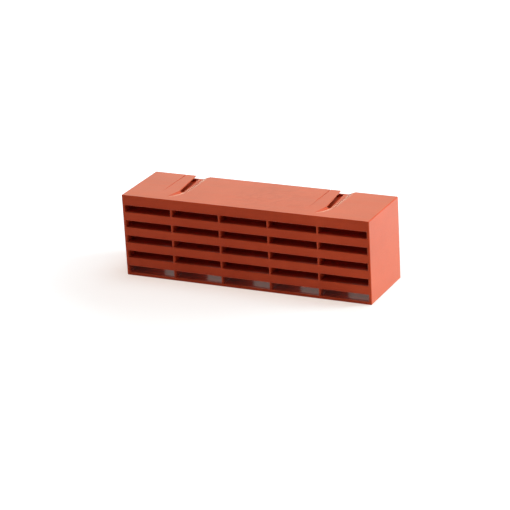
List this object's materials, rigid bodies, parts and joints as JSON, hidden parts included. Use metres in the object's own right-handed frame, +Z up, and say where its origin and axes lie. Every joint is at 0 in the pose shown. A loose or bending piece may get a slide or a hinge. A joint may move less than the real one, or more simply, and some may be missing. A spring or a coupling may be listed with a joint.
{
  "type": "plastic air brick",
  "caption": "Plastic air brick moulded in one piece: an open-backed box with a louvred front grille and clip slots in its top, built into a wall to vent the space behind it.",
  "frame": {"origin": "middle of the base, on the bed face that the brick stands on", "axes": "+X along the brick's length, -Y out of the grille, +Z up"},
  "size_m": [0.215, 0.06, 0.069],
  "materials": {
    "moulding": "terracotta-coloured moulded polypropylene with a satin skin"
  },
  "bodies": {
    "root": {"air_brick": "moulding"}
  },
  "joints": []
}
